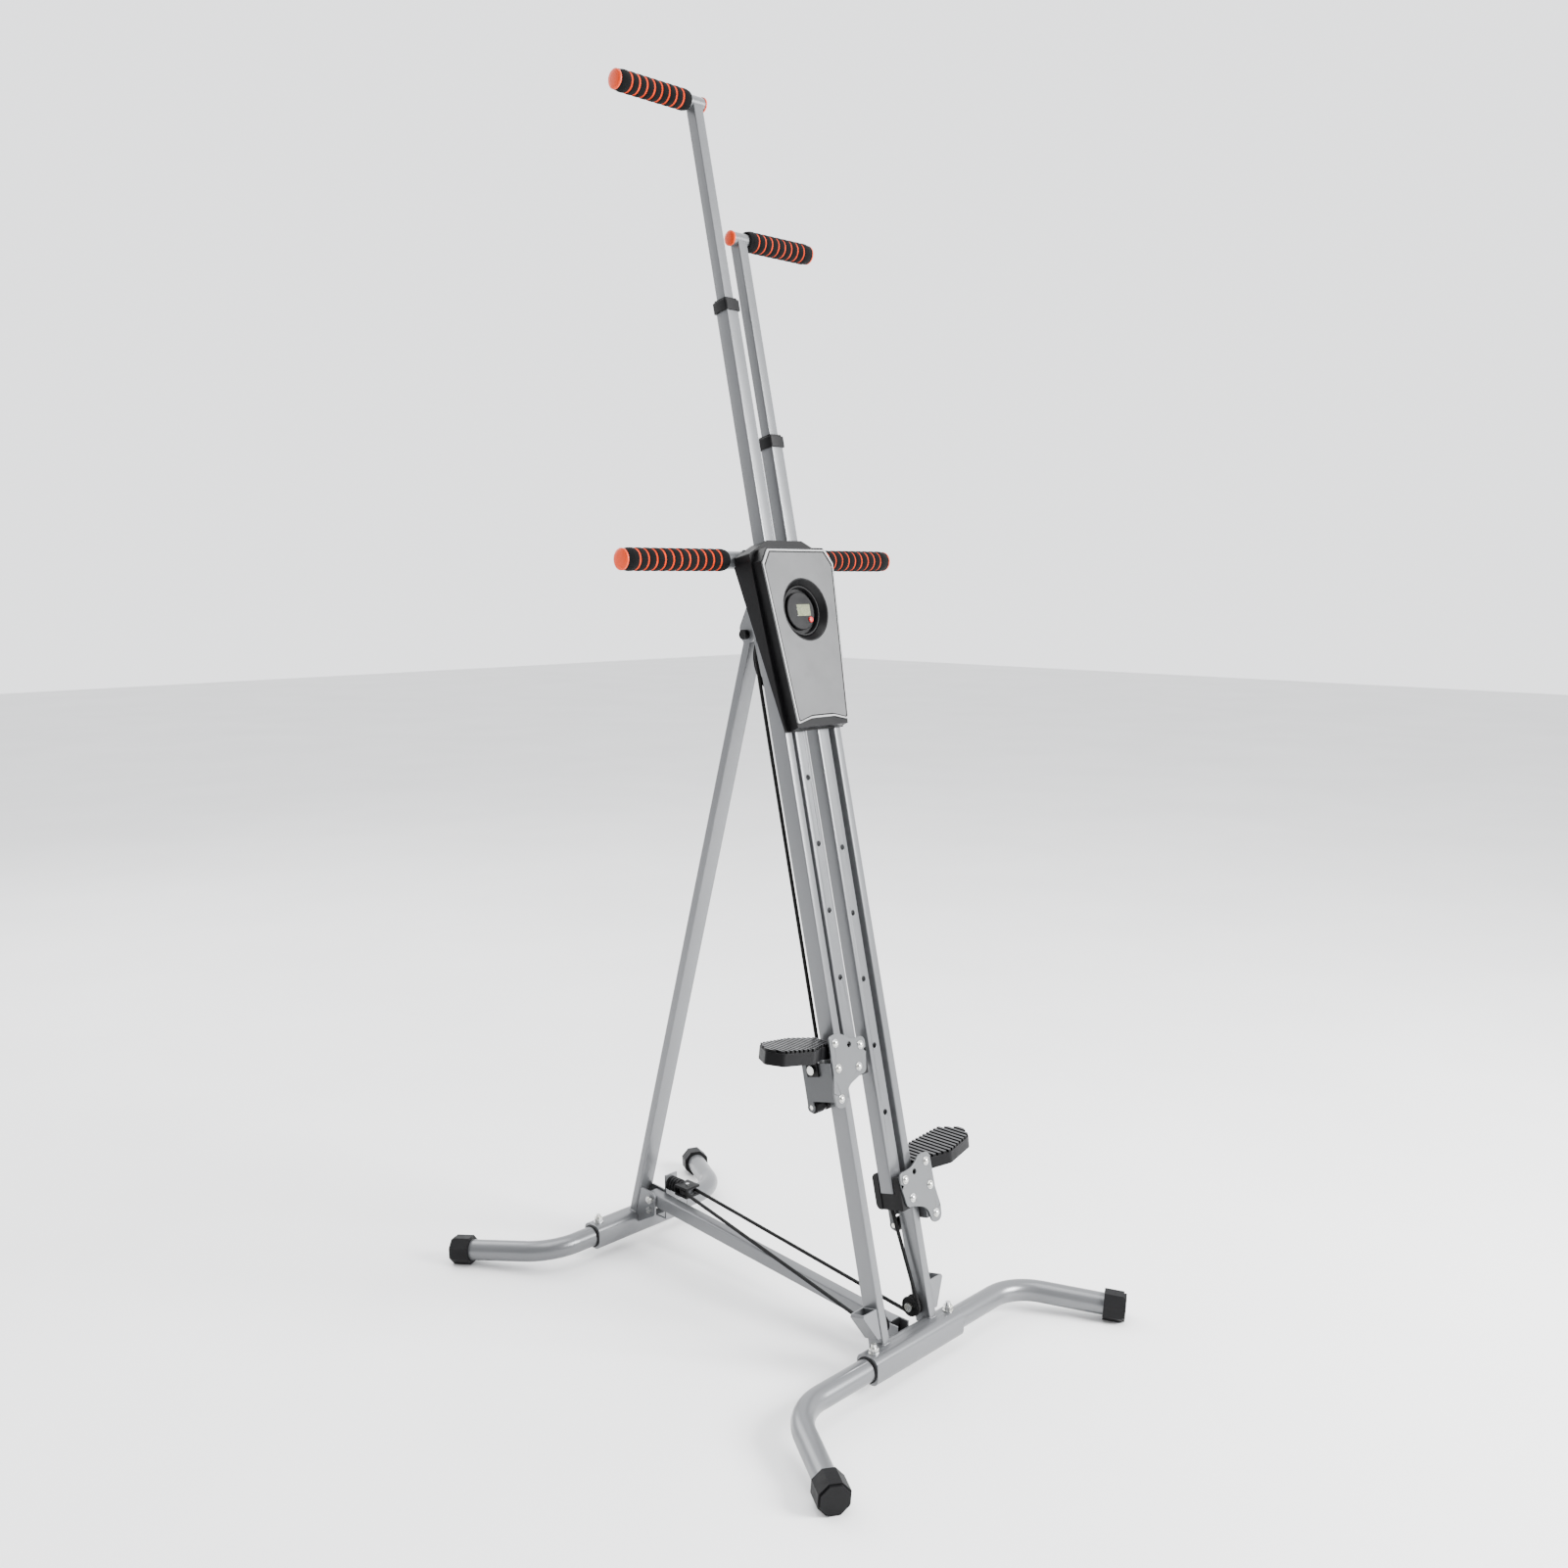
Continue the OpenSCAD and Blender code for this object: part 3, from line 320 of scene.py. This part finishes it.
def braided(name, color):
    """Braided cover: two sets of strands crossing round the rope, laid out by its UV, with painted shade
    between the strands and painted highlight on their crowns.
    """
    s = Shader(name)
    parts = s("SeparateXYZ", Vector=s.uv)
    turn = s.math("MULTIPLY", parts.outputs["X"], 2 * math.pi * STRANDS_ROUND)
    along = s.math("MULTIPLY", parts.outputs["Y"], 2 * math.pi * STRANDS_PER_METRE)
    one = s.math("SINE", s.math("ADD", turn, along))
    two = s.math("SINE", s.math("SUBTRACT", turn, along))
    weave = s.math("MAXIMUM", one, two)
    fibres = s.noise(2200, 3)
    height = s.math("ADD", weave, s.math("MULTIPLY", fibres, 0.5))
    # Colour follows the weave: painted shade between the strands, painted highlight on their crowns
    base = s.mix(s.span(weave, -0.5, 1, 0, 1), shade(color, 0.45), shade(color, 1.5))
    base = s.mix(s.span(s.noise(30, 4), 0.4, 0.7, 0, 0.35), base, rgb(0.02, 0.02, 0.019))
    return s.finish(base, s.span(fibres, 0.3, 0.7, 0.65, 0.85), s.bump(height, 0.6, 0.0005),
                    Specular_IOR_Level=0.15, Sheen_Weight=0.05)


def display_glass(name):
    """Olive display under a clear window, with faint darker specks behind it."""
    s = Shader(name)
    cloud = s.noise(140, 3)
    base = s.mix(s.span(cloud, 0.35, 0.65, 0, 1), rgb(0.10, 0.115, 0.055), rgb(0.14, 0.155, 0.08))
    base = s.mix(s.span(s.noise(900, 2), 0.4, 0.75, 0, 0.18), base, rgb(0.04, 0.047, 0.025))
    roughness = s.span(s.noise(400, 2), 0.3, 0.7, 0.2, 0.3)
    return s.finish(base, roughness, s.bump(s.noise(700, 2), 0.04, 0.0001),
                    Coat_Weight=1.0, Coat_Roughness=0.04)


PAINT = painted("silver_paint", (0.14, 0.144, 0.15), 0.5, 0.30)
PLATE = painted("plate_paint", (0.105, 0.109, 0.113), 0.4, 0.36)
DARK = painted("dark_paint", (0.05, 0.052, 0.055), 0.4, 0.40)
BLACK = moulded("black_plastic", (0.005, 0.005, 0.0055), 0.44)
SHELL = moulded("console_plastic", (0.0035, 0.0035, 0.004), 0.42, 700, 0.3)
CUP = moulded("cup_plastic", (0.006, 0.006, 0.0065), 0.34, 900, 0.2)
PANEL = moulded("panel_plastic", (0.075, 0.076, 0.078), 0.38, 1200, 0.14, 0.35)
# A lighter copy of the panel plastic for its raised rim: a painted highlight
PANEL_RIM_HIGHLIGHT = moulded("panel_rim_highlight", (0.26, 0.262, 0.265), 0.34, 1200, 0.1, 0.4)
# Near black for the panel's groove: painted shade
GROOVE_SHADE = moulded("groove_shade", (0.004, 0.004, 0.004), 0.5, 900, 0.2)
RUBBER = moulded("cap_rubber", (0.004, 0.004, 0.0045), 0.5, 500, 0.3)
# Treads: paler edges, and on the rib tops a lighter copy of the plastic; both are painted highlight where
# the ribs catch the light
TREAD = moulded("tread_plastic", (0.0035, 0.0035, 0.004), 0.42, 800, 0.25, 0.12, 0.05)
TREAD_RIB_HIGHLIGHT = moulded("tread_rib_highlight", (0.04, 0.04, 0.042), 0.34, 800, 0.25, 0.4, 0.1)
ORANGE = moulded("orange_plastic", (0.62, 0.048, 0.004), 0.34, 1200, 0.1, 0.25)
RED = moulded("button_plastic", (0.40, 0.015, 0.015), 0.3, 1500, 0.06, 0.4)
FOAM = foam("foam_black", (0.003, 0.003, 0.0033))
FOAM_RING = foam("foam_orange", (0.44, 0.028, 0.002))
ZINC = plated("zinc", (0.60, 0.61, 0.62), 0.24)
ROPE = braided("rope_cover", (0.004, 0.004, 0.0045))
LCD = display_glass("display")

# The CAD nodes of each material, by the start of their names
CAD_LOOKS = {
    PAINT: ("front_sleeve", "front_foot_", "mast_", "band_hooks", "handlebar", "pole_", "handle_tube_",
            "handle_bar_", "rear_leg", "rear_sleeve", "rear_foot_", "rear_bracket", "bottom_bar"),
    PLATE: ("carriage_plate_",),
    DARK: ("carriage_body_", "rear_pulley"),
    BLACK: ("collar_", "guide_block_", "roller_", "pulley_", "rear_pulley_block", "hinge_knob",
            "bar_plugs"),
    CUP: ("display_cup",),
    SHELL: ("console_shell",),
    PANEL: ("console_panel",),
    RUBBER: ("front_caps", "rear_caps"),
    TREAD: ("pedal_",),
    ORANGE: ("handlebar_plugs", "handle_plugs_"),
    RED: ("reset_button",),
    ZINC: ("pulley_brackets", "frame_bolts", "rear_bolts", "carriage_bolts_"),
    LCD: ("display_lens",),
    ROPE: ("rope_",),
    FOAM: ("handlebar_grip_", "handle_grip_"),
}
# Width of the rounded edges in millimetres, by the start of a node's name
PLAIN_EDGE_MM = 0.4
EDGE_MM = {
    "console_shell": 1.2, "console_panel": 0.5, "display_lens": 0.2, "reset_button": 0.1,
    "front_caps": 1.6, "rear_caps": 1.6, "pedal_": 0.8, "guide_block_": 1.0, "collar_": 0.8,
    "hinge_knob": 1.0, "carriage_plate_": 0.5, "band_hooks": 0.6,
    "frame_bolts": 0.5, "rear_bolts": 0.5, "carriage_bolts_": 0.1,
}


def by_name(name, table, otherwise=None):
    """The table's value for the longest key that the name starts with."""
    found = [key for key in table if name.startswith(key)]
    return table[max(found, key=len)] if found else otherwise


def dress_cad():
    """Gives every CAD node its material and rounded edges."""
    looks = {key: material for material, keys in CAD_LOOKS.items() for key in keys}
    for name, obj in NODES.items():
        obj.data.materials.clear()
        obj.data.materials.append(by_name(name, looks))
        if "custom_normal" in obj.data.attributes:
            obj.data.attributes.remove(obj.data.attributes["custom_normal"])
        obj.data.polygons.foreach_set("use_smooth", [True] * len(obj.data.polygons))
        weld = obj.modifiers.new("weld", "WELD")
        weld.merge_threshold = 1e-6
        bevel = obj.modifiers.new("edge", "BEVEL")
        bevel.width = by_name(name, EDGE_MM, PLAIN_EDGE_MM) * MM
        bevel.segments = 2
        bevel.limit_method = "ANGLE"
        bevel.angle_limit = math.radians(38)
        bevel.harden_normals = True
        bevel.use_clamp_overlap = True


dress_cad()


# ---------- second colours ----------

def second_colour(node, material, is_marked):
    """Gives the faces of a CAD node that pass the test a material of their own."""
    mesh = NODES[node].data
    mesh.materials.append(material)
    for polygon in mesh.polygons:
        if is_marked(polygon):
            polygon.material_index = 1


TREAD_ROLL = math.radians(8)
CREST_DEPTH = 0.5 * MM


def tread_crest(node, sign):
    """Test for the tops of the ribs on a tread, which rolls towards the mast."""
    up = Vector((-sign * math.sin(TREAD_ROLL), 0, math.cos(TREAD_ROLL)))
    top = max(v.co.dot(up) for v in NODES[node].data.vertices)
    return lambda polygon: polygon.normal.dot(up) > 0.95 and polygon.center.dot(up) > top - CREST_DEPTH


# The rib tops get the lighter tread material: a painted highlight where they catch the light
for side_name, sign in SIDES.items():
    second_colour(f"pedal_{side_name}", TREAD_RIB_HIGHLIGHT, tread_crest(f"pedal_{side_name}", sign))


# ---------- foam grips ----------

FOAM_THICK = 3.2 * MM
ROUNDED_END = 5 * MM
BOTH_ENDS = 9 * MM
RING_PITCH = 16.2 * MM
RING_WIDTH = 3.0 * MM
DIP = 0.9 * MM
# A ring's section: millimetres along from its edge, and its depth in dips
RING_SECTION = ((0.3, 1.5), (1.0, 1.3), (1.9, 1.3), (2.7, 1.5))


def make_grip(name, node, body, side):
    """Foam roll with orange rings let into it; the inner end is rounded."""
    low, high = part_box(node)
    mid = (low + high) / 2
    radius = (high.z - low.z) / 2
    inner, outer = (low.x, high.x) if side > 0 else (high.x, low.x)
    length = abs(outer - inner)
    bore = radius - FOAM_THICK
    rings = max(6, round(length / RING_PITCH))
    pitch = (length - BOTH_ENDS) / rings
    roll = pitch - RING_WIDTH
    profile, slots = [(0, bore)], []
    for i in range(7):
        a = math.pi / 2 * i / 6
        profile.append((ROUNDED_END * (1 - math.cos(a)), bore + (radius - DIP - bore) * math.sin(a)))
        slots.append(0)
    for i in range(rings):
        start = ROUNDED_END + i * pitch
        for k in range(1, 7):
            f = k / 6
            profile.append((start + roll * f, radius - DIP * (2 * f - 1) ** 4))
            slots.append(0)
        if i < rings - 1:
            for x, depth in RING_SECTION:
                profile.append((start + roll + x * MM, radius - DIP * depth))
                slots.append(1)
    profile += [(length - 0.6 * MM, radius - 1.4 * MM), (length, radius - 2.2 * MM), (length, bore)]
    slots += [0, 0, 0]
    grip = lathe(name, profile, (inner, mid.y, mid.z), (side, 0, 0), [FOAM, FOAM_RING], slots, 72)
    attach(grip, body)
    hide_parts(node)


for side_name, sign in SIDES.items():
    make_grip(f"foam_bar_{side_name}", f"handlebar_grip_{side_name}", "frame", sign)
    make_grip(f"foam_upper_{side_name}", f"handle_grip_{side_name}", f"{side_name}_handle", sign)


# ---------- rope ----------

ROPE_R = 2.9 * MM
MAST_FOOT = Vector((0, -317.5 * MM, 0))


def on_mast(x, back, up):
    """A point from its place beside, behind and along the mast, in millimetres."""
    return MAST_FOOT + RIGHT * (x * MM) + BACK * (back * MM) + UP * (up * MM)


def rope(name, route, step=6):
    piece = sweep(name, smooth_route(route, step * MM), ROPE_R, [ROPE])
    return piece


# Height of the carriages along the mast at rest: their mean, and how far each is from it
MID, PHASE = 381, 106
# Where a run is tied: how far below the carriage's middle, and for the lower run how far back
TOP_TIE_DOWN, LOW_TIE_DOWN, LOW_TIE_BACK = 51.5, 49, 32
# Centre line of the rope round each wheel. The top wheel is as wide as the two upper runs are apart.
TOP_BACK, TOP_UP, TOP_RADIUS = 40, 1064, 54
LOW_X, LOW_BACK, LOW_UP, LOW_RADIUS = 38, 21.5, 76, 13
REAR_X, REAR_Y, REAR_Z, REAR_RADIUS = 26 * MM, 206.5 * MM, 109 * MM, 11 * MM


def directions(first, last, step):
    """Cosine and sine of the angles from first to last, in degrees."""
    angles = [math.radians(a) for a in range(first, last + (1 if step > 0 else -1), step)]
    return [(math.cos(a), math.sin(a)) for a in angles]


def arc_over_top():
    return [on_mast(TOP_RADIUS * c, TOP_BACK, TOP_UP + TOP_RADIUS * s)
            for c, s in directions(180, 0, -10)]


def arc_under_low(sign):
    return [on_mast(sign * LOW_X, LOW_BACK + LOW_RADIUS * c, LOW_UP + LOW_RADIUS * s)
            for c, s in directions(180, 288, 12)]


def arc_round_rear():
    return [Vector((REAR_X + REAR_RADIUS * c, REAR_Y + REAR_RADIUS * s, REAR_Z))
            for c, s in directions(180, 0, -20)]


def make_ropes():
    top = rope("rope_over_top", arc_over_top())
    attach(top, "frame")
    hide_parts("rope_upper")
    rear_arc = arc_round_rear()
    rear = rope("rope_round_rear", rear_arc, 3)
    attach(rear, "rear_base")
    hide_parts("rope_lower")
    for side_name, sign in SIDES.items():
        carriage = MID - sign * PHASE
        high = on_mast(sign * TOP_RADIUS, TOP_BACK, TOP_UP)
        low = on_mast(sign * TOP_RADIUS, TOP_BACK, carriage - TOP_TIE_DOWN)
        piece = rope(f"rope_upper_{side_name}", [high, high.lerp(low, 0.5), low], 8)
        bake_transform(piece)
        arc = arc_under_low(sign)
        start = on_mast(sign * LOW_X, LOW_TIE_BACK, carriage - LOW_TIE_DOWN)
        piece = rope(f"rope_low_{side_name}", [start, start.lerp(arc[0], 0.5), arc[0]])
        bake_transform(piece)
        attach(rope(f"rope_turn_{side_name}", arc, 3), "frame")
        end = rear_arc[0 if sign < 0 else -1]
        piece = rope(f"rope_run_{side_name}", [arc[-1], arc[-1].lerp(end, 0.5), end])
        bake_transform(piece)


make_ropes()


# ---------- panel rim: painted highlight, and painted shade in its groove ---

# Place of the panel's front behind the mast's foot, and its half widths and heights along the mast
PANEL_FRONT = -28
PANEL_LOW_HALF, PANEL_HIGH_HALF = 56, 77
PANEL_LOW_UP, PANEL_HIGH_UP = 960.5, 1224.5


def panel_outline(inset):
    """The console panel's outline as [x, up the mast] in millimetres, moved inwards by inset."""
    low, high = PANEL_LOW_HALF - inset, PANEL_HIGH_HALF - inset
    low_up, high_up = PANEL_LOW_UP + inset, PANEL_HIGH_UP - inset
    half = [(low * 0.45, low_up + 7), (low, low_up), (high, high_up - 21), (high - 14, high_up)]
    return half + [(-x, up) for x, up in reversed(half)]


def make_panel_groove():
    """Dark strip of painted shade that fills most of the groove inside the panel's raised rim."""
    rows = [[on_mast(x, PANEL_FRONT + 0.5, up) for x, up in panel_outline(inset)] for inset in (2.7, 4.7)]
    corners = len(rows[0])
    faces = ring_faces(0, corners, corners)
    strip = mesh_object("panel_groove_shade", rows[0] + rows[1], faces, [GROOVE_SHADE], smooth=False)
    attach(strip, "frame")


# The front faces of the raised rim get the lighter copy: a painted highlight along the rim
second_colour("console_panel", PANEL_RIM_HIGHLIGHT,
              lambda polygon: (polygon.center - MAST_FOOT).dot(BACK) < (PANEL_FRONT + 0.15) * MM)
make_panel_groove()


# ---------- weld beads ----------

CONTACT = 0.3 * MM
BEAD_R = 1.6 * MM
BEAD_STEP = 0.9 * MM
RIPPLE = 1.7 * MM
OUTLINE_SECTORS = 72


def contact_loop(node, other):
    """Outer outline of the places where node touches other, in order round their middle."""
    mesh = NODES[other].data
    tree = BVHTree.FromPolygons([v.co for v in mesh.vertices], [tuple(p.vertices) for p in mesh.polygons])
    points = []
    for v in NODES[node].data.vertices:
        nearest, _, _, _ = tree.find_nearest(v.co, CONTACT)
        if nearest is not None:
            points.append(Vector(v.co))
    middle = sum(points, Vector()) / len(points)
    around = {}
    for p in points:
        angle = math.atan2(p.y - middle.y, p.x - middle.x)
        sector = round(angle / (2 * math.pi) * OUTLINE_SECTORS) % OUTLINE_SECTORS
        if sector not in around or (p - middle).length > (around[sector] - middle).length:
            around[sector] = p
    return [around[k] for k in sorted(around)]


def bead(name, loop, body):
    """Weld bead along a closed loop: overlapping ripples of slightly uneven size."""
    points = []
    for i, p in enumerate(loop):
        q = loop[(i + 1) % len(loop)]
        count = max(1, round((q - p).length / BEAD_STEP))
        points += [p.lerp(q, j / count) for j in range(count)]

    def ripple(run):
        wave = abs(math.sin(run / RIPPLE))
        return 0.85 + 0.22 * wave + 0.12 * noise.noise(Vector((run * 90, 0, 0)))

    piece = sweep(name, points, BEAD_R, [PAINT], sides=10, closed=True, ripple=ripple)
    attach(piece, body)


for side_name, sign in SIDES.items():
    bead(f"weld_mast_{side_name}", contact_loop(f"mast_tube_{side_name}", "front_sleeve"), "frame")
bead("weld_leg", contact_loop("rear_leg", "rear_sleeve"), "rear_base")


# ---------- bushings at the sleeve mouths ----------

SLEEVE_AXIS_UP = 35 * MM
SLEEVE_RADIUS = 20 * MM
FOOT_TUBE_RADIUS = 16.7 * MM


def make_bushings(node, body):
    """Plastic ring round the foot tube at both mouths of a sleeve."""
    low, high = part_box(node)
    for side_name, sign in SIDES.items():
        at = (high.x if sign > 0 else low.x, low.y + SLEEVE_RADIUS, SLEEVE_AXIS_UP)
        section = ((-1, 0.05), (2.2, 0.05), (3.0, 0.6), (2.6, 1.7), (0.0, 2.3), (-1, 2.3))
        profile = [(out * MM, FOOT_TUBE_RADIUS + thickness * MM) for out, thickness in section]
        ring = lathe(f"bushing_{body}_{side_name}", profile, at, (sign, 0, 0), [BLACK], segments=56)
        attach(ring, body)


make_bushings("front_sleeve", "frame")
make_bushings("rear_sleeve", "rear_base")


# ---------- stage ----------

FLOOR_HALF = 14
FLOOR_CORNERS = [(-FLOOR_HALF, -FLOOR_HALF, 0), (FLOOR_HALF, -FLOOR_HALF, 0),
                 (FLOOR_HALF, FLOOR_HALF, 0), (-FLOOR_HALF, FLOOR_HALF, 0)]
# Area lights: name, place, watts and size
LAMPS = (("key", (1.4, -3.4, 2.2), 480, 1.6),
         ("back", (-0.4, 3.4, 3.0), 110, 2.6),
         ("top", (0, 0, 4.4), 140, 3.0))
LAMP_TARGET = Vector((0, 0, 0.8))
# The way the camera looks, roughly, and the world's strength behind the camera and beyond the machine
INTO_VIEW = (0.7, 0.7, 0.1)
NEAR_STRENGTH, FAR_STRENGTH = 0.75, 2.3


def make_floor():
    s = Shader("floor")
    tone = s.span(s.noise(1.5, 3), 0.3, 0.7, 0, 1)
    base = s.mix(tone, rgb(0.88, 0.88, 0.88), rgb(0.93, 0.93, 0.93))
    floor = mesh_object("floor", FLOOR_CORNERS, [(0, 1, 2, 3)], [s.finish(base, 0.6)], smooth=False)


def make_world():
    """Studio that is brighter on the far side of the machine than on the camera's side."""
    world = bpy.data.worlds.new("studio")
    bpy.context.scene.world = world
    world.use_nodes = True
    tree = world.node_tree
    background = tree.nodes["Background"]
    background.inputs["Color"].default_value = rgb(0.97, 0.98, 1.0)
    direction = tree.nodes.new("ShaderNodeTexCoord")
    across = tree.nodes.new("ShaderNodeVectorMath")
    across.operation = "DOT_PRODUCT"
    across.inputs[1].default_value = INTO_VIEW
    level = tree.nodes.new("ShaderNodeMapRange")
    level.interpolation_type = "SMOOTHSTEP"
    for key, number in (("From Min", -0.7), ("From Max", 0.7),
                        ("To Min", NEAR_STRENGTH), ("To Max", FAR_STRENGTH)):
        level.inputs[key].default_value = number
    tree.links.new(direction.outputs["Generated"], across.inputs[0])
    tree.links.new(across.outputs["Value"], level.inputs["Value"])
    tree.links.new(level.outputs[0], background.inputs["Strength"])


def make_lamps():
    for name, place, energy, size in LAMPS:
        data = bpy.data.lights.new(name, "AREA")
        data.energy = energy
        data.size = size
        lamp = bpy.data.objects.new(name, data)
        lamp.location = place
        lamp.rotation_euler = (LAMP_TARGET - Vector(place)).to_track_quat("-Z", "Y").to_euler()
        bpy.context.scene.collection.objects.link(lamp)


make_floor()
make_world()
make_lamps()
